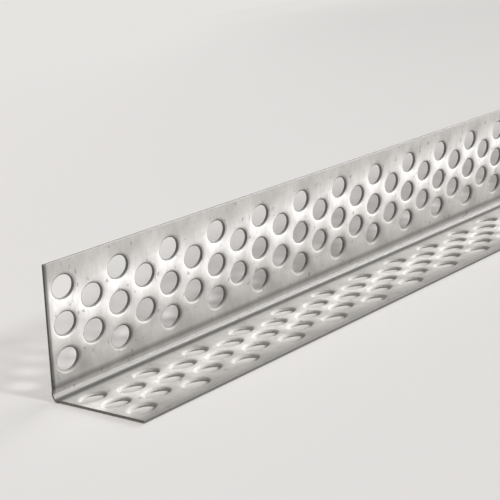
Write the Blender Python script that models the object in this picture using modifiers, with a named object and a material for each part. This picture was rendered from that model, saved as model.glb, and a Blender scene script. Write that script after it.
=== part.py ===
"""Drywall corner bead: a 1 m length of galvanised steel angle with a small rolled nose along its
corner and round holes punched through both legs in a staggered pattern.

The strip lies along X on its lower leg, with the other leg standing at its back (+Y). The legs
are rolled a little past square, so that they spring open over a wall corner and grip it.
The origin is at the bottom centre of the strip's box. Units are metres, +Z is up.
The real strip is rolled from one piece. It is modelled as two halves that meet at mid-length
with a fine gap, because of its several hundred holes.
"""

import math

import bmesh
import bpy
from mathutils import Matrix, Vector

# Stock
LENGTH = 1.0                   # one length of bead
LEG = 0.030                    # leg width, measured from the nose's outermost line
LEG_ANGLE = math.radians(76)   # between the unsprung legs
SHEET = 0.0006                 # sheet thickness
HALF_GAP = 0.0003              # gap between the two modelled halves

# Rolled nose along the corner
NOSE_RADIUS = 0.0015           # outer radius of the nose
NOSE_PROUD = 0.00015           # how far the nose stands out past the legs' outer faces
BEND_RADIUS = 0.0005           # outer-side radius of the bend between the nose and each leg
BEND_STEPS = 3                 # straight steps in each bend
NOSE_SIDE_STEPS = 3            # straight steps from a bend to the nose's lowest line
NOSE_FRONT_STEPS = 3           # straight steps from its outermost line to the middle of the nose

# Punched holes: columns of three and of two holes take turns along the strip
HOLE_DIAMETER = 0.005
HOLE_PITCH = 0.008             # centre to centre, in a column and to the six nearest holes
FIRST_ROW = 0.0059             # outermost row's centre from the leg's free edge
FIRST_COLUMN = 0.0042          # first column's centre from the strip's end
COLUMNS = 144                  # columns along the whole strip
ROWS_LONG = 3                  # holes in each odd column
ROWS_SHORT = 2                 # holes in each even column
HOLE_SIDES = 6                 # each round hole is a hexagon of the same area
CUTTER_DEPTH = 0.004           # cutters reach well past both faces of the sheet

# Worked out from the sizes above
COLUMN_STEP = HOLE_PITCH * math.sqrt(3) / 2
HALF_COLUMNS = COLUMNS // 2
HALF_LENGTH = LENGTH / 2
SPLIT_X = -HALF_LENGTH + FIRST_COLUMN + (HALF_COLUMNS - 0.5) * COLUMN_STEP
HOLE_RADIUS = HOLE_DIAMETER / 2
HEXAGON_RADIUS = HOLE_RADIUS * math.sqrt(2 * math.pi / (HOLE_SIDES * math.sin(2 * math.pi / HOLE_SIDES)))

# Finish
STEEL_COLOUR = (0.56, 0.56, 0.54, 1.0)
STEEL_ROUGHNESS = 0.42


def clear_scene():
    for item in list(bpy.data.objects):
        bpy.data.objects.remove(item, do_unlink=True)


def make_collection(name):
    collection = bpy.data.collections.new(name)
    bpy.context.scene.collection.children.link(collection)
    return collection


def steel_material():
    material = bpy.data.materials.new("galvanised_steel")
    material.use_nodes = True
    shader = material.node_tree.nodes["Principled BSDF"]
    shader.inputs["Base Color"].default_value = STEEL_COLOUR
    shader.inputs["Roughness"].default_value = STEEL_ROUGHNESS
    shader.inputs["Metallic"].default_value = 1.0
    return material


def arc_points(centre, radius, start, end, steps):
    """Points along an arc, both ends included. Angles are in radians."""
    points = []
    for step in range(steps + 1):
        angle = start + (end - start) * step / steps
        points.append((centre[0] + radius * math.cos(angle), centre[1] + radius * math.sin(angle)))
    return points


def half_section(inset):
    """One side of the section's half, from the lower leg's free edge to the middle of the nose.

    The first coordinate runs along the lower leg from the nose's outermost line, the second is
    height. An inset of 0 gives the outer face and an inset of SHEET gives the inner one.
    """
    drop = NOSE_RADIUS - NOSE_PROUD + BEND_RADIUS
    reach = math.sqrt((NOSE_RADIUS + BEND_RADIUS) ** 2 - drop ** 2)
    nose_centre = (NOSE_RADIUS, NOSE_RADIUS)
    bend_centre = (NOSE_RADIUS + reach, NOSE_PROUD - BEND_RADIUS)
    turn = math.atan2(reach, drop)
    quarter = math.pi / 2
    radius = NOSE_RADIUS - inset

    edge = [(LEG, NOSE_PROUD + inset)]
    bend = arc_points(bend_centre, BEND_RADIUS + inset, quarter, quarter + turn, BEND_STEPS)
    side = arc_points(nose_centre, radius, turn - quarter, -quarter, NOSE_SIDE_STEPS)
    front = arc_points(nose_centre, radius, LEG_ANGLE - math.pi, LEG_ANGLE / 2 - math.pi, NOSE_FRONT_STEPS)
    return edge + bend + side[1:] + front


def mirrored(along, height):
    """The same point on the other leg: its mirror image in the line that halves the leg angle."""
    across = along - NOSE_RADIUS
    up = height - NOSE_RADIUS
    cosine = math.cos(LEG_ANGLE)
    sine = math.sin(LEG_ANGLE)
    return NOSE_RADIUS + across * cosine + up * sine, NOSE_RADIUS + across * sine - up * cosine


def whole_side(inset):
    """The half section and its mirror image, as one run of points."""
    half = half_section(inset)
    other_half = [mirrored(along, height) for along, height in reversed(half[:-1])]
    return half + other_half


def strip_mesh(name, length):
    """The bead's section as a flat outline extruded to the given length, made into a mesh."""
    outline = whole_side(0.0) + list(reversed(whole_side(SHEET)))
    curve = bpy.data.curves.new(name + "_outline", "CURVE")
    curve.dimensions = "2D"
    curve.fill_mode = "BOTH"
    curve.extrude = length / 2
    spline = curve.splines.new("POLY")
    spline.points.add(len(outline) - 1)
    for point, (along, height) in zip(spline.points, outline):
        point.co = (along, height, 0.0, 1.0)
    spline.use_cyclic_u = True

    guide = bpy.data.objects.new(name + "_outline", curve)
    bpy.context.scene.collection.objects.link(guide)
    evaluated = guide.evaluated_get(bpy.context.evaluated_depsgraph_get())
    mesh = bpy.data.meshes.new_from_object(evaluated)
    bpy.data.objects.remove(guide, do_unlink=True)

    shape = bmesh.new()
    shape.from_mesh(mesh)
    bmesh.ops.remove_doubles(shape, verts=shape.verts, dist=0.000001)
    bmesh.ops.recalc_face_normals(shape, faces=shape.faces)
    shape.to_mesh(mesh)
    shape.free()
    mesh.name = name
    return mesh


def section_to_world(middle_x):
    """Turns the outline so that it stands across X, with the nose at the back (+Y) and down."""
    turn = Matrix((
        (0.0, 0.0, -1.0, middle_x),
        (-1.0, 0.0, 0.0, LEG / 2),
        (0.0, 1.0, 0.0, 0.0),
        (0.0, 0.0, 0.0, 1.0),
    ))
    return turn


def add_array(item, count, offset):
    array = item.modifiers.new("repeat", "ARRAY")
    array.count = count
    array.use_relative_offset = False
    array.use_constant_offset = True
    array.constant_offset_displace = offset


def hole_cutter(name, collection, upright, first_x, rows, first_row):
    """Every second column of holes through one leg, as an array of hexagonal prisms."""
    bpy.ops.mesh.primitive_cylinder_add(vertices=HOLE_SIDES, radius=HEXAGON_RADIUS, depth=CUTTER_DEPTH)
    cutter = bpy.context.object
    cutter.name = name
    for owner in list(cutter.users_collection):
        owner.objects.unlink(cutter)
    collection.objects.link(cutter)
    cutter.hide_render = True
    cutter.display_type = "WIRE"

    along = LEG - first_row
    height = NOSE_PROUD + SHEET / 2
    row_offset = Vector((0.0, HOLE_PITCH, 0.0))
    if upright:
        turn = Matrix.Rotation(-LEG_ANGLE, 4, "X")
        cutter.data.transform(turn)
        row_offset = turn @ row_offset
        along, height = mirrored(along, height)
    cutter.location = (first_x, LEG / 2 - along, height)
    add_array(cutter, rows, row_offset)
    add_array(cutter, HALF_COLUMNS // 2, Vector((2 * COLUMN_STEP, 0.0, 0.0)))
    return cutter


def cut(item, cutter):
    boolean = item.modifiers.new(cutter.name, "BOOLEAN")
    boolean.operation = "DIFFERENCE"
    boolean.solver = "EXACT"
    boolean.object = cutter


def strip_half(name, parts, cutters, material, start_x, end_x, first_column_x):
    """One half of the bead with its holes, from start_x to end_x."""
    strip = bpy.data.objects.new(name, strip_mesh(name, end_x - start_x))
    strip.matrix_world = section_to_world((start_x + end_x) / 2)
    strip.data.materials.append(material)
    parts.objects.link(strip)
    columns = (
        ("odd", first_column_x, ROWS_LONG, FIRST_ROW),
        ("even", first_column_x + COLUMN_STEP, ROWS_SHORT, FIRST_ROW + HOLE_PITCH / 2),
    )
    for leg, upright in (("upright", True), ("lower", False)):
        for label, x, rows, first_row in columns:
            cutter_name = "_".join((name, leg, label, "holes"))
            cut(strip, hole_cutter(cutter_name, cutters, upright, x, rows, first_row))
    return strip


def main():
    clear_scene()
    parts = make_collection("drywall_corner_bead")
    cutters = make_collection("cutters")
    steel = steel_material()
    first_column_x = -HALF_LENGTH + FIRST_COLUMN
    middle_column_x = first_column_x + HALF_COLUMNS * COLUMN_STEP
    strip_half("bead_strip_left", parts, cutters, steel,
               -HALF_LENGTH, SPLIT_X - HALF_GAP / 2, first_column_x)
    strip_half("bead_strip_right", parts, cutters, steel,
               SPLIT_X + HALF_GAP / 2, HALF_LENGTH, middle_column_x)


main()
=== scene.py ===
"""Drywall corner bead of galvanised steel, dressed for rendering.

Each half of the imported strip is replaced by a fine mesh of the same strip, with round holes, the
shallow rims pressed round them and a smoothly curved nose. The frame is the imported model's:
metres, +Z up, the strip along X on its lower leg with the other leg standing at its back (+Y).
"""

import math

import bmesh
import bpy
import numpy as np
from mathutils import Euler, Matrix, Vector
from mathutils.geometry import delaunay_2d_cdt


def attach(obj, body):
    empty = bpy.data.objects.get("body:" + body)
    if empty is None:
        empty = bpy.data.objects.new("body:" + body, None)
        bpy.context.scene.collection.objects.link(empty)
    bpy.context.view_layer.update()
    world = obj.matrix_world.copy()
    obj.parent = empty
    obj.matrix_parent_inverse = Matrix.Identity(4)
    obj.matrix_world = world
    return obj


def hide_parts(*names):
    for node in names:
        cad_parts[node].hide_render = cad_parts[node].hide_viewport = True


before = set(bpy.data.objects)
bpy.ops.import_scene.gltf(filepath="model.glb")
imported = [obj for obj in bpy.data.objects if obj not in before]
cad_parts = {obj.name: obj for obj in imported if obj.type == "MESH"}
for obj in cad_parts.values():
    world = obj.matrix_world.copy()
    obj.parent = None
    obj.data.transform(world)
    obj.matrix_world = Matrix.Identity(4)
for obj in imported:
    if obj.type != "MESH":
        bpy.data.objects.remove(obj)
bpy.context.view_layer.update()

# Strip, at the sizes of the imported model
LENGTH = 1.0
LEG = 0.030                    # leg width, measured from the nose's outermost line
LEG_ANGLE = math.radians(76)
SHEET = 0.0006
HALF_GAP = 0.0003
NOSE_RADIUS = 0.0015
NOSE_PROUD = 0.00015
BEND_RADIUS = 0.0005
HOLE_RADIUS = 0.0025
HOLE_PITCH = 0.008
FIRST_ROW = 0.0059
FIRST_COLUMN = 0.0042
COLUMNS = 144
ROWS_LONG = 3
ROWS_SHORT = 2

COLUMN_STEP = HOLE_PITCH * math.sqrt(3) / 2
HALF_COLUMNS = COLUMNS // 2
HALF_LENGTH = LENGTH / 2
SPLIT_X = -HALF_LENGTH + FIRST_COLUMN + (HALF_COLUMNS - 0.5) * COLUMN_STEP

# Fine form
HOLE_SEGMENTS = 24
RIM_RADIUS = 0.0032            # where the pressed rim runs out into the flat sheet
RIM_DROP = 0.00045             # how far the hole's edge lies below the inner face
RIM_CURVE = 1.3                # 1 gives a straight cone, more gives a softer start
INNER_RINGS = 5
PUNCHED_AND_SHADE_RINGS = 2              # innermost rings, in the dark punched colour: bare metal of the punched edge, and painted shade that makes the dark crescents
OUTER_RINGS = 2
BEND_STEPS = 6
NOSE_SIDE_STEPS = 5
NOSE_FRONT_STEPS = 8
EDGE_EASE = 0.00006            # softened corner of the free edges
SHARP_ANGLE = math.radians(40)
HULL_TRIANGLES = 0             # kind of triangulation that fills the holes too
SAME_PLACE = 1e-9              # points of the flat sheet's outlines closer than this are one
SAME_CORNER = 0.000002         # the same for the whole mesh

# Section of a free edge, as distances from it and depths below the inner face
EDGE_OUTLINE = (
    (EDGE_EASE, 0.0), (0.0, EDGE_EASE), (0.0, SHEET - EDGE_EASE), (EDGE_EASE, SHEET),
)

ZINC = 0                       # material numbers on the fine mesh
PUNCHED_ZINC_AND_SHADE = 1
CUT_STEEL_AND_SHADE = 2

# Zinc, with its painted light and shade as pairs of a distance in metres and a share
ZINC_COLOUR = (0.92, 0.896, 0.884, 1.0)
DARK_ZINC_COLOUR = (0.92, 0.887, 0.828, 1.0)  # warmer tone that the darkest zinc tends to, both in its random mottle and in its painted shade
ZINC_METALLIC = 0.2
LEG_LIGHT_AND_SHADE = (                   # painted light and shade from the middle of the nose: painted shade beside the nose, painted light across the leg's middle, darker again towards and on the free edge
    (0.0, 0.72), (0.00093, 0.72), (0.0011, 0.38), (0.0014, 0.28), (0.0017, 0.21), (0.0021, 0.29),
    (0.0028, 0.41), (0.0066, 0.46), (0.0106, 0.67), (0.0146, 0.87), (0.0186, 0.98), (0.0222, 0.89),
    (0.0238, 0.79), (0.0250, 0.70), (0.0262, 0.63), (0.0270, 0.60), (0.0283, 0.58), (0.0284, 0.56),
    (0.0285, 0.28), (0.03, 0.26),
)
NOSE_LINE = (0.0016, 0.0006)   # lowest line inside the nose, along and above the lower leg
NOSE_SHADE = (                  # painted shade in the bottom of the nose's groove, which also dims its highlight, from that line
    (0.0, 0.13), (0.0005, 0.15), (0.0007, 0.19), (0.00088, 0.24), (0.00103, 0.32), (0.00119, 0.50),
    (0.00134, 0.85), (0.0016, 1.0),
)
FRONT_LIGHT_AND_SHADE = (                 # painted light and shade from the lower leg's free edge: darker near it, brighter towards the leg's middle
    (0.0, 0.42), (0.0004, 0.43), (0.0009, 0.47), (0.0014, 0.53), (0.0022, 0.57), (0.0035, 0.55),
    (0.0052, 0.57), (0.0064, 0.54), (0.0099, 0.52), (0.0139, 0.78), (0.0179, 0.97), (0.021, 1.0),
)
END_SHADE = (                   # painted shade from the upright leg's sheared ends, darkest at the ends
    (0.0, 0.25), (0.0003, 0.3), (0.0008, 0.86), (0.0025, 0.9), (0.006, 1.0),
)
UPRIGHT_HEIGHTS = (0.001, 0.003)  # between these the lower leg gives way to the upright one
# Dark punched rings: partly the bare punched edge, partly painted shade for the crescents beside the
# holes
PUNCHED_AND_SHADE_COLOURS = ((0.18, 0.175, 0.165, 1.0), (0.24, 0.233, 0.22, 1.0))
# Sheared ends: partly dark bare steel, partly painted shade where the end faces lie in shade
CUT_AND_SHADE_COLOURS = ((0.075, 0.068, 0.058, 1.0), (0.14, 0.128, 0.11, 1.0))
DULL_ROUGHNESS = 0.5
DULL_SPECULAR = 0.2
LOWER_LEG_LIGHT = 2.1              # brightness of the lower leg's dull metal, the upright's being 1; painted light that draws the same metal brighter on the lower leg

# Noise in the metal, and the values that it drives
STREAKS = {"stretch": (2200.0, 260.0, 260.0), "scale": 1.0, "detail": 3.0, "roughness": 0.6}
MOTTLE = {"stretch": (1.0, 0.7, 0.7), "scale": 350.0, "detail": 3.0, "roughness": 0.6}
SPECKS = {"stretch": (1.0, 0.6, 0.6), "scale": 900.0, "detail": 2.0, "roughness": 0.5}
GRAIN = {"stretch": (1.0, 1.0, 1.0), "scale": 1800.0, "detail": 2.0, "roughness": 0.5}
NOISE_MIDDLE = (0.3, 0.7)      # nearly all of the noise lies between these
NOISE_PEAKS = (0.65, 0.74)     # its highest values, which make the specks
STREAK_LEVELS = (0.93, 1.04)
MOTTLE_LEVELS = (0.90, 1.05)
SPECK_LEVELS = (1.0, 0.6)
STREAK_ROUGHNESS = (0.50, 0.60)
MOTTLE_ROUGHNESS = (0.92, 1.08)
BUMP_STRENGTH = 0.12
BUMP_HEIGHT = 0.0001

# Camera, from the edges and holes of both legs in the photograph
CAMERA_PLACE = (-0.61114, -0.17585, 0.07063)
CAMERA_TURN = (77.594, 10.06, -44.1)
CAMERA_LENS = 80.365
CAMERA_SENSOR = 36.0
CAMERA_NEAR = 0.01

# Light: directions point from the strip towards the lamp
KEY_FROM = (0.043, -0.917, 0.397)
KEY_SPREAD = math.radians(7)
KEY_STRENGTH = 1.5
FILL_FROM = ((-0.75, -1.0, 0.287), (-1.2, -1.0, 0.287), (-1.9, -1.0, 0.287))
FILL_SPREAD = math.radians(5)
FILL_LEVEL = 0.43              # light that each of the three gives a level floor
END_FROM = (1.0, -0.1, 0.4)
END_SPREAD = math.radians(25)
END_STRENGTH = 1.35
SIDE_FROM = (0.68, -0.48, 0.55)
SIDE_SPREAD = math.radians(15)
SIDE_STRENGTH = 6.0
BACK_FROM = (0.3, 1.0, 0.08)
BACK_SPREAD = math.radians(5)
BACK_STRENGTH = 2.0
AMBIENT = (0.17, 0.167, 0.164)
BACKDROP = (0.787, 0.771, 0.752)
FLOOR_COLOUR = (0.8, 0.8, 0.798)
FLOOR_GLOW = (0.033, 0.016, 0.004)
FLOOR_SIZE = 30.0
FLOOR_FADE = (0.7, 2.5)        # the floor fades into the backdrop between these distances
SHADE_FROM = (-0.4, 0.4, 0.0)  # the floor darkens softly from here
SHADE_TOWARDS = (0.747, -0.665, 0.0)
SHADE_REACH = 0.7
SHADE_LEVEL = 0.12
SHADE_FADE = (1.3, 6.0)        # the darkening weakens between these distances
SHADE_REST = 0.2

# Limits of a share
WHOLE = (0.0, 1.0)


class Shape:
    """Points and faces gathered for one mesh, with each face's material number."""

    def __init__(self):
        self.points = []
        self.faces = []
        self.materials = []
        self.count = 0

    def add(self, points, faces, materials):
        self.points.append(np.asarray(points, dtype=float))
        self.faces += [[index + self.count for index in face] for face in faces]
        self.materials += materials
        self.count += len(points)


def arc_points(centre, radius, start, end, steps):
    """Points along an arc, both ends included. Angles are in radians."""
    points = []
    for step in range(steps + 1):
        angle = start + (end - start) * step / steps
        points.append((centre[0] + radius * math.cos(angle), centre[1] + radius * math.sin(angle)))
    return points


def half_curve(inset):
    """The section from the end of the lower leg's flat to the middle of the nose.

    The first coordinate runs along the lower leg from the nose's outermost line, the second is
    height. An inset of 0 gives the outer face and an inset of SHEET gives the inner one.
    """
    drop = NOSE_RADIUS - NOSE_PROUD + BEND_RADIUS
    reach = math.sqrt((NOSE_RADIUS + BEND_RADIUS) ** 2 - drop ** 2)
    nose_centre = (NOSE_RADIUS, NOSE_RADIUS)
    bend_centre = (NOSE_RADIUS + reach, NOSE_PROUD - BEND_RADIUS)
    turn = math.atan2(reach, drop)
    quarter = math.pi / 2
    radius = NOSE_RADIUS - inset
    bend = arc_points(bend_centre, BEND_RADIUS + inset, quarter, quarter + turn, BEND_STEPS)
    side = arc_points(nose_centre, radius, turn - quarter, -quarter, NOSE_SIDE_STEPS)
    front_start = LEG_ANGLE - math.pi
    front_end = LEG_ANGLE / 2 - math.pi
    front = arc_points(nose_centre, radius, front_start, front_end, NOSE_FRONT_STEPS)
    return bend + side[1:] + front


FLAT_WIDTH = LEG - half_curve(0.0)[0][0]


def mirrored(along, height):
    """The same point on the other leg: its mirror image in the line that halves the leg angle."""
    across = along - NOSE_RADIUS
    up = height - NOSE_RADIUS
    cosine = math.cos(LEG_ANGLE)
    sine = math.sin(LEG_ANGLE)
    return NOSE_RADIUS + across * cosine + up * sine, NOSE_RADIUS + across * sine - up * cosine


def to_world(points, upright):
    """World points from X, distance from the free edge and depth below the inner face."""
    along = LEG - points[:, 1]
    height = NOSE_PROUD + SHEET - points[:, 2]
    if upright:
        along, height = mirrored(along, height)
    return np.column_stack([points[:, 0], LEG / 2 - along, height])


def stations(start, end, step):
    """Evenly spaced places from start to end, about one step apart."""
    count = max(2, round((end - start) / step))
    return np.linspace(start, end, count + 1)


def across_stations():
    """Distances from the free edge at which the flat's ends have a point."""
    return stations(EDGE_EASE, FLAT_WIDTH, HOLE_PITCH / 2)


def hole_centres(first_column, count):
    """Places of the holes of some columns, as X and the distance from the leg's free edge."""
    centres = []
    for column in range(first_column, first_column + count):
        x = -HALF_LENGTH + FIRST_COLUMN + column * COLUMN_STEP
        long_column = column % 2 == 0
        rows = ROWS_LONG if long_column else ROWS_SHORT
        first_row = FIRST_ROW if long_column else FIRST_ROW + HOLE_PITCH / 2
        for row in range(rows):
            centres.append((x, first_row + row * HOLE_PITCH))
    return centres


def ring(centre, radius):
    """Points of a circle round a hole's centre."""
    angles = np.arange(HOLE_SEGMENTS) * 2 * math.pi / HOLE_SEGMENTS
    x = centre[0] + radius * np.cos(angles)
    y = centre[1] + radius * np.sin(angles)
    return np.column_stack([x, y])


def rim_profile():
    """Radius, depth and next band's material of a rim's circles, from the inner face to the outer."""
    width = RIM_RADIUS - HOLE_RADIUS
    profile = []
    for step in range(INNER_RINGS):
        inwards = step / INNER_RINGS
        # the innermost rings and the hole's wall take the dark punched colour, partly painted shade
        material = PUNCHED_ZINC_AND_SHADE if step >= INNER_RINGS - PUNCHED_AND_SHADE_RINGS else ZINC
        profile.append((RIM_RADIUS - width * inwards, RIM_DROP * inwards ** RIM_CURVE, material))
    profile.append((HOLE_RADIUS, RIM_DROP, PUNCHED_ZINC_AND_SHADE))
    for step in range(OUTER_RINGS + 1):
        outwards = step / OUTER_RINGS
        drop = NOSE_PROUD * (1 - outwards) ** 2
        profile.append((HOLE_RADIUS + width * outwards, SHEET + drop, ZINC))
    return profile


def flat_between_rims(start_x, end_x, centres):
    """Flat sheet between the rims: points as X and distance from the free edge, and triangles."""
    along = stations(start_x, end_x, COLUMN_STEP / 2)
    across = across_stations()
    border = [(x, EDGE_EASE) for x in along]
    border += [(end_x, y) for y in across[1:-1]]
    border += [(x, FLAT_WIDTH) for x in along[::-1]]
    border += [(start_x, y) for y in across[1:-1][::-1]]
    points = []
    edges = []
    for outline in [border] + [ring(centre, RIM_RADIUS) for centre in centres]:
        first = len(points)
        count = len(outline)
        points += [Vector(point) for point in outline]
        edges += [(first + index, first + (index + 1) % count) for index in range(count)]
    found = delaunay_2d_cdt(points, edges, [], HULL_TRIANGLES, SAME_PLACE)
    # The result starts with points, edges and triangles
    flat = np.array([tuple(point) for point in found[0]])
    triangles = np.array(found[2])
    middle = flat[triangles].mean(axis=1)
    inside = np.zeros(len(triangles), bool)
    limit = RIM_RADIUS * math.cos(math.pi / HOLE_SEGMENTS)
    for x, y in centres:
        inside |= np.hypot(middle[:, 0] - x, middle[:, 1] - y) < limit
    return flat, triangles[~inside].tolist()


def at_depth(points, depth):
    """Flat points with the same third coordinate for all of them."""
    return np.column_stack([points, np.full(len(points), depth)])


def leg_faces(start_x, end_x, centres):
    """One leg's two faces and its holes' rims, as X, distance from the free edge and depth."""
    leg = Shape()
    flat, triangles = flat_between_rims(start_x, end_x, centres)
    for depth in (0.0, SHEET):
        leg.add(at_depth(flat, depth), triangles, [ZINC] * len(triangles))
    profile = rim_profile()
    faces = []
    materials = []
    for step in range(len(profile) - 1):
        for index in range(HOLE_SEGMENTS):
            follow = (index + 1) % HOLE_SEGMENTS
            near = step * HOLE_SEGMENTS
            far = near + HOLE_SEGMENTS
            faces.append([near + index, near + follow, far + follow, far + index])
            materials.append(profile[step][2])
    for centre in centres:
        circles = [at_depth(ring(centre, radius), depth) for radius, depth, material in profile]
        leg.add(np.concatenate(circles), faces, materials)
    return leg


def ladder(rows, length):
    """Faces between rows of points, each row being of the given length."""
    faces = []
    for row in range(rows - 1):
        for index in range(length - 1):
            near = row * length + index
            faces.append([near, near + 1, near + 1 + length, near + length])
    return faces


def drawn_along(outline, along):
    """Points of an outline across the strip at each place along it, and the faces between them."""
    rows = [at_depth(np.column_stack([along, np.full(len(along), y)]), z) for y, z in outline]
    return np.concatenate(rows), ladder(len(rows), len(along))


def add_free_edge(shape, along, upright):
    """The narrow sheared edge between a leg's two faces."""
    points, faces = drawn_along(EDGE_OUTLINE, along)
    shape.add(to_world(points, upright), faces, [ZINC] * len(faces))


def whole_curve(inset):
    """The nose and both bends, from the lower leg's flat to the upright leg's flat."""
    half = half_curve(inset)
    return half + [mirrored(a, h) for a, h in reversed(half[:-1])]


def add_nose(shape, along):
    """The nose's and both bends' inner and outer faces."""
    for inset in (SHEET, 0.0):
        outline = [(LEG / 2 - a, h) for a, h in whole_curve(inset)]
        points, faces = drawn_along(outline, along)
        shape.add(points, faces, [ZINC] * len(faces))


def add_end(shape, x):
    """The sheared end, which closes the strip between its inner and its outer outline."""
    rows = []
    for inset in (SHEET, 0.0):
        leg = [(LEG - y, NOSE_PROUD + inset) for y in across_stations()[:-1]]
        other_leg = [mirrored(a, h) for a, h in reversed(leg)]
        outline = leg + whole_curve(inset) + other_leg
        rows.append(np.array([(x, LEG / 2 - a, h) for a, h in outline]))
    faces = ladder(2, len(rows[0]))
    # the end faces take the dark cut colour, partly painted shade
    shape.add(np.concatenate(rows), faces, [CUT_STEEL_AND_SHADE] * len(faces))
    tip = np.array([(x, y, depth) for y, depth in EDGE_OUTLINE])
    for upright in (False, True):
        shape.add(to_world(tip, upright), [list(range(len(tip)))], [CUT_STEEL_AND_SHADE])


def strip_mesh(name, start_x, end_x, centres):
    """Fine mesh of the strip between two places along X, closed all round."""
    shape = Shape()
    along = stations(start_x, end_x, COLUMN_STEP / 2)
    leg = leg_faces(start_x, end_x, centres)
    leg_points = np.concatenate(leg.points)
    for upright in (False, True):
        shape.add(to_world(leg_points, upright), leg.faces, leg.materials)
        add_free_edge(shape, along, upright)
    add_nose(shape, along)
    add_end(shape, start_x)
    add_end(shape, end_x)

    mesh = bpy.data.meshes.new(name)
    mesh.from_pydata(np.concatenate(shape.points).tolist(), [], shape.faces)
    mesh.polygons.foreach_set("material_index", shape.materials)
    joined = bmesh.new()
    joined.from_mesh(mesh)
    bmesh.ops.remove_doubles(joined, verts=joined.verts, dist=SAME_CORNER)
    bmesh.ops.recalc_face_normals(joined, faces=joined.faces)
    joined.to_mesh(mesh)
    joined.free()
    mesh.shade_smooth()
    mesh.set_sharp_from_angle(angle=SHARP_ANGLE)
    return mesh


def add_node(tree, kind, **values):
    item = tree.nodes.new(kind)
    for key, value in values.items():
        setattr(item, key, value)
    return item


def new_material(name):
    material = bpy.data.materials.new(name)
    material.use_nodes = True
    return material


def own_place(tree):
    """A point's place in its object's own coordinates."""
    return add_node(tree, "ShaderNodeTexCoord").outputs["Object"]


def own_coordinates(tree):
    """The same place as three numbers, by the names X, Y and Z."""
    split = add_node(tree, "ShaderNodeSeparateXYZ")
    tree.links.new(own_place(tree), split.inputs["Vector"])
    return split.outputs


def add_mapping(tree, scale, location=(0.0, 0.0, 0.0)):
    """The same place, scaled and then moved."""
    mapping = add_node(tree, "ShaderNodeMapping")
    mapping.inputs["Scale"].default_value = scale
    mapping.inputs["Location"].default_value = location
    tree.links.new(own_place(tree), mapping.inputs["Vector"])
    return mapping.outputs["Vector"]


def add_length(tree, vector):
    item = add_node(tree, "ShaderNodeVectorMath", operation="LENGTH")
    tree.links.new(vector, item.inputs[0])
    return item.outputs["Value"]


def add_noise(tree, stretch, scale, detail, roughness):
    """Noise in the strip's own coordinates, stretched along each axis."""
    texture = add_node(tree, "ShaderNodeTexNoise")
    texture.inputs["Scale"].default_value = scale
    texture.inputs["Detail"].default_value = detail
    texture.inputs["Roughness"].default_value = roughness
    tree.links.new(add_mapping(tree, stretch), texture.inputs["Vector"])
    return texture.outputs["Fac"]


def add_range(tree, source, limits, values, **settings):
    """The value that a source within the limits stands for, held at both ends."""
    item = add_node(tree, "ShaderNodeMapRange", **settings)
    sockets = ("From Min", "From Max", "To Min", "To Max")
    for socket, number in zip(sockets, (*limits, *values)):
        item.inputs[socket].default_value = number
    tree.links.new(source, item.inputs["Value"])
    return item.outputs["Result"]


def add_math(tree, operation, *sources):
    item = add_node(tree, "ShaderNodeMath", operation=operation)
    for number, source in enumerate(sources):
        tree.links.new(source, item.inputs[number])
    return item.outputs["Value"]


def add_product(tree, first, *others):
    for other in others:
        first = add_math(tree, "MULTIPLY", first, other)
    return first


def add_levels(tree, distance, levels):
    """Brightness that changes smoothly with distance through the given pairs."""
    reach = levels[-1][0]
    share = add_range(tree, distance, (0.0, reach), WHOLE)
    ramp = add_node(tree, "ShaderNodeValToRGB")
    while len(ramp.color_ramp.elements) < len(levels):
        ramp.color_ramp.elements.new(0.5)
    for element, (place, value) in zip(ramp.color_ramp.elements, levels):
        element.position = place / reach
        element.color = (value, value, value, 1.0)
    ramp.color_ramp.interpolation = "EASE"
    tree.links.new(share, ramp.inputs["Fac"])
    return ramp.outputs["Color"]


def add_distance(tree, along, height):
    """Distance from a line that runs along the strip at a place in its section."""
    across = add_mapping(tree, (0.0, 1.0, 1.0), (0.0, along - LEG / 2, -height))
    return add_length(tree, across)


def add_upright(tree):
    """0 on the lower leg and 1 on the upright one."""
    return add_range(tree, own_coordinates(tree)["Z"], UPRIGHT_HEIGHTS, WHOLE)


def add_painted_light_and_shade(tree):
    """Brightness of the zinc, painted by place: painted light across the middle of each leg, painted
    shade beside and in the nose, towards the free edges and at the upright's sheared ends.
    """
    leg = add_levels(tree, add_distance(tree, NOSE_RADIUS, NOSE_RADIUS), LEG_LIGHT_AND_SHADE)
    nose = add_levels(tree, add_distance(tree, *NOSE_LINE), NOSE_SHADE)
    place = own_coordinates(tree)
    from_middle = add_math(tree, "ABSOLUTE", place["X"])
    from_end = add_range(tree, from_middle, (0.0, HALF_LENGTH), (HALF_LENGTH, 0.0))
    from_front = add_range(tree, place["Y"], (-LEG / 2, LEG / 2), (0.0, LEG))
    front = add_levels(tree, from_front, FRONT_LIGHT_AND_SHADE)
    end = add_node(tree, "ShaderNodeMix", data_type="RGBA")
    end.inputs["A"].default_value = (1.0, 1.0, 1.0, 1.0)
    tree.links.new(add_upright(tree), end.inputs["Factor"])
    tree.links.new(add_levels(tree, from_end, END_SHADE), end.inputs["B"])
    return add_product(tree, leg, nose, front, end.outputs["Result"])


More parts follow.
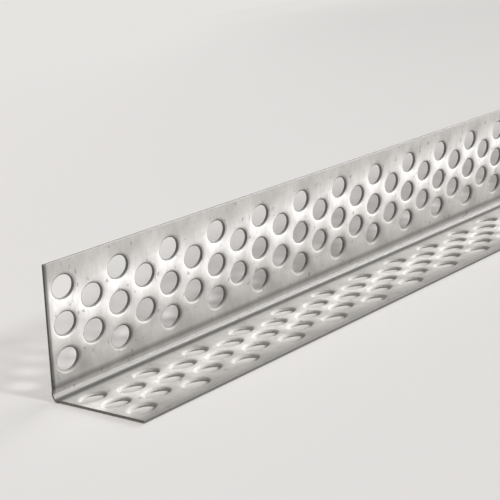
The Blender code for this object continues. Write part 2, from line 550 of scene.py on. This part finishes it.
def galvanised_steel():
    """Matt zinc-coated sheet: fine streaks across the strip, soft mottling, dark specks, and painted
    light and shade by place.
    """
    material = new_material("galvanised_steel")
    tree = material.node_tree
    shader = tree.nodes["Principled BSDF"]
    shader.inputs["Metallic"].default_value = ZINC_METALLIC
    streaks = add_noise(tree, **STREAKS)
    mottle = add_noise(tree, **MOTTLE)
    specks = add_noise(tree, **SPECKS)

    streak_level = add_range(tree, streaks, NOISE_MIDDLE, STREAK_LEVELS)
    mottle_level = add_range(tree, mottle, NOISE_MIDDLE, MOTTLE_LEVELS)
    speck_level = add_range(tree, specks, NOISE_PEAKS, SPECK_LEVELS)
    # random tone of the zinc times its painted light and shade
    level = add_product(tree, streak_level, mottle_level, speck_level, add_painted_light_and_shade(tree))
    tint = add_node(tree, "ShaderNodeMix", data_type="RGBA", blend_type="MULTIPLY")
    tint.inputs["Factor"].default_value = 1.0
    tone = add_node(tree, "ShaderNodeMix", data_type="RGBA")
    tone.inputs["A"].default_value = DARK_ZINC_COLOUR
    tone.inputs["B"].default_value = ZINC_COLOUR
    tree.links.new(level, tone.inputs["Factor"])
    tree.links.new(tone.outputs["Result"], tint.inputs["A"])
    tree.links.new(level, tint.inputs["B"])
    tree.links.new(tint.outputs["Result"], shader.inputs["Base Color"])

    streak_roughness = add_range(tree, streaks, NOISE_MIDDLE, STREAK_ROUGHNESS)
    mottle_roughness = add_range(tree, mottle, NOISE_MIDDLE, MOTTLE_ROUGHNESS)
    roughness = add_product(tree, streak_roughness, mottle_roughness)
    tree.links.new(roughness, shader.inputs["Roughness"])

    bump = add_node(tree, "ShaderNodeBump")
    bump.inputs["Strength"].default_value = BUMP_STRENGTH
    bump.inputs["Distance"].default_value = BUMP_HEIGHT
    tree.links.new(streaks, bump.inputs["Height"])
    tree.links.new(bump.outputs["Normal"], shader.inputs["Normal"])
    return material


def grained_metal(name, colours):
    """Dull metal whose colour varies between two tones in a fine grain, drawn brighter on the lower
    leg than on the upright as painted light.
    """
    material = new_material(name)
    tree = material.node_tree
    shader = tree.nodes["Principled BSDF"]
    shader.inputs["Roughness"].default_value = DULL_ROUGHNESS
    shader.inputs["Specular IOR Level"].default_value = DULL_SPECULAR
    ramp = add_node(tree, "ShaderNodeValToRGB")
    for element, position, colour in zip(ramp.color_ramp.elements, NOISE_MIDDLE, colours):
        element.position = position
        element.color = colour
    tree.links.new(add_noise(tree, **GRAIN), ramp.inputs["Fac"])
    level = add_range(tree, add_upright(tree), WHOLE, (LOWER_LEG_LIGHT, 1.0))
    scaled = add_node(tree, "ShaderNodeVectorMath", operation="SCALE")
    tree.links.new(ramp.outputs["Color"], scaled.inputs["Vector"])
    tree.links.new(level, scaled.inputs["Scale"])
    tree.links.new(scaled.outputs["Vector"], shader.inputs["Base Color"])
    return material


def build_strip():
    """The two fine halves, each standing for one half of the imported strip."""
    materials = (
        galvanised_steel(),
        grained_metal("punched_zinc_and_shade", PUNCHED_AND_SHADE_COLOURS),
        grained_metal("cut_steel_and_shade", CUT_AND_SHADE_COLOURS),
    )
    halves = (
        ("bead_strip_left", -HALF_LENGTH, SPLIT_X - HALF_GAP / 2, 0),
        ("bead_strip_right", SPLIT_X + HALF_GAP / 2, HALF_LENGTH, HALF_COLUMNS),
    )
    pieces = []
    for cad_node, start_x, end_x, first_column in halves:
        name = "fine_" + cad_node
        centres = hole_centres(first_column, HALF_COLUMNS)
        piece = bpy.data.objects.new(name, strip_mesh(name, start_x, end_x, centres))
        for material in materials:
            piece.data.materials.append(material)
        bpy.context.scene.collection.objects.link(piece)
        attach(piece, "root")
        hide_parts(cad_node)
        pieces.append(piece)
    return pieces


def seen_directly(tree):
    """1 for camera, glossy and transmission rays, and 0 for the rest."""
    rays = add_node(tree, "ShaderNodeLightPath").outputs
    seen = add_math(tree, "MAXIMUM", rays["Is Camera Ray"], rays["Is Glossy Ray"])
    return add_math(tree, "MAXIMUM", seen, rays["Is Transmission Ray"])


def add_shade(tree):
    """Brightness of the floor, which falls off softly towards one side."""
    place = own_place(tree)
    offset = add_node(tree, "ShaderNodeVectorMath", operation="SUBTRACT")
    offset.inputs[1].default_value = SHADE_FROM
    tree.links.new(place, offset.inputs[0])
    along = add_node(tree, "ShaderNodeVectorMath", operation="DOT_PRODUCT")
    along.inputs[1].default_value = SHADE_TOWARDS
    tree.links.new(offset.outputs["Vector"], along.inputs[0])
    soft = add_range(tree, along.outputs["Value"], (0.0, SHADE_REACH), WHOLE,
                     interpolation_type="SMOOTHSTEP")
    rest = add_range(tree, add_length(tree, place), SHADE_FADE, (1.0, SHADE_REST))
    return add_range(tree, add_product(tree, soft, rest), WHOLE, (1.0, 1.0 - SHADE_LEVEL))


def add_emission(tree, colour, strength):
    item = add_node(tree, "ShaderNodeEmission")
    item.inputs["Color"].default_value = (*colour, 1.0)
    tree.links.new(strength, item.inputs["Strength"])
    return item.outputs["Emission"]


def mix_surfaces(tree, output, share, first, second):
    """Gives the output the first shader where the share is 0 and the second where it is 1."""
    mix = add_node(tree, "ShaderNodeMixShader")
    tree.links.new(share, mix.inputs["Fac"])
    tree.links.new(first, mix.inputs[1])
    tree.links.new(second, mix.inputs[2])
    tree.links.new(mix.outputs["Shader"], tree.nodes[output].inputs["Surface"])


def build_floor():
    """Pale floor with the strip's shadow on it, which fades into the backdrop further out."""
    material = new_material("floor")
    tree = material.node_tree
    tree.nodes.remove(tree.nodes["Principled BSDF"])
    shade = add_shade(tree)
    strength = add_product(tree, seen_directly(tree), shade)
    colour = add_node(tree, "ShaderNodeVectorMath", operation="SCALE")
    colour.inputs["Vector"].default_value = FLOOR_COLOUR
    tree.links.new(shade, colour.inputs["Scale"])
    paint = add_node(tree, "ShaderNodeBsdfDiffuse")
    tree.links.new(colour.outputs["Vector"], paint.inputs["Color"])
    near = add_node(tree, "ShaderNodeAddShader")
    tree.links.new(paint.outputs["BSDF"], near.inputs[0])
    tree.links.new(add_emission(tree, FLOOR_GLOW, strength), near.inputs[1])
    distant = add_emission(tree, BACKDROP, strength)
    fade = add_range(tree, add_length(tree, own_place(tree)), FLOOR_FADE, WHOLE)
    mix_surfaces(tree, "Material Output", fade, near.outputs["Shader"], distant)

    bpy.ops.mesh.primitive_plane_add(size=FLOOR_SIZE, location=(0.0, 0.0, 0.0))
    floor = bpy.context.object
    floor.name = "floor"
    floor.data.materials.append(material)
    return floor


def add_sun(name, towards, strength, spread, lit):
    """A distant soft lamp that lights only the given objects."""
    data = bpy.data.lights.new(name, "SUN")
    data.energy = strength
    data.angle = spread
    sun = bpy.data.objects.new(name, data)
    sun.rotation_euler = (-Vector(towards)).to_track_quat("-Z", "Y").to_euler()
    bpy.context.scene.collection.objects.link(sun)
    group = bpy.data.collections.new(name + "_lights")
    for item in lit:
        group.objects.link(item)
    sun.light_linking.receiver_collection = group


def build_world():
    """Even ambient light, with the plain backdrop where the world is seen or reflected."""
    world = bpy.data.worlds.new("studio")
    bpy.context.scene.world = world
    world.use_nodes = True
    tree = world.node_tree
    ambient = tree.nodes["Background"]
    ambient.inputs["Color"].default_value = (*AMBIENT, 1.0)
    backdrop = add_node(tree, "ShaderNodeBackground")
    backdrop.inputs["Color"].default_value = (*BACKDROP, 1.0)
    mix_surfaces(tree, "World Output", seen_directly(tree),
                 ambient.outputs["Background"], backdrop.outputs["Background"])


def build_camera():
    data = bpy.data.cameras.new("camera")
    data.lens = CAMERA_LENS
    data.sensor_width = CAMERA_SENSOR
    data.clip_start = CAMERA_NEAR
    camera = bpy.data.objects.new("camera", data)
    camera.location = CAMERA_PLACE
    camera.rotation_euler = Euler([math.radians(turn) for turn in CAMERA_TURN], "XYZ")
    bpy.context.scene.collection.objects.link(camera)
    bpy.context.scene.camera = camera


def main():
    bpy.context.scene.view_settings.view_transform = "Standard"
    build_camera()
    pieces = build_strip()
    floor = build_floor()
    add_sun("key", KEY_FROM, KEY_STRENGTH, KEY_SPREAD, [floor])
    for number, towards in enumerate(FILL_FROM):
        strength = FILL_LEVEL / Vector(towards).normalized().z
        add_sun("fill_%d" % number, towards, strength, FILL_SPREAD, [floor])
    add_sun("end", END_FROM, END_STRENGTH, END_SPREAD, [floor])
    add_sun("side", SIDE_FROM, SIDE_STRENGTH, SIDE_SPREAD, pieces)
    add_sun("back", BACK_FROM, BACK_STRENGTH, BACK_SPREAD, pieces)
    build_world()


main()
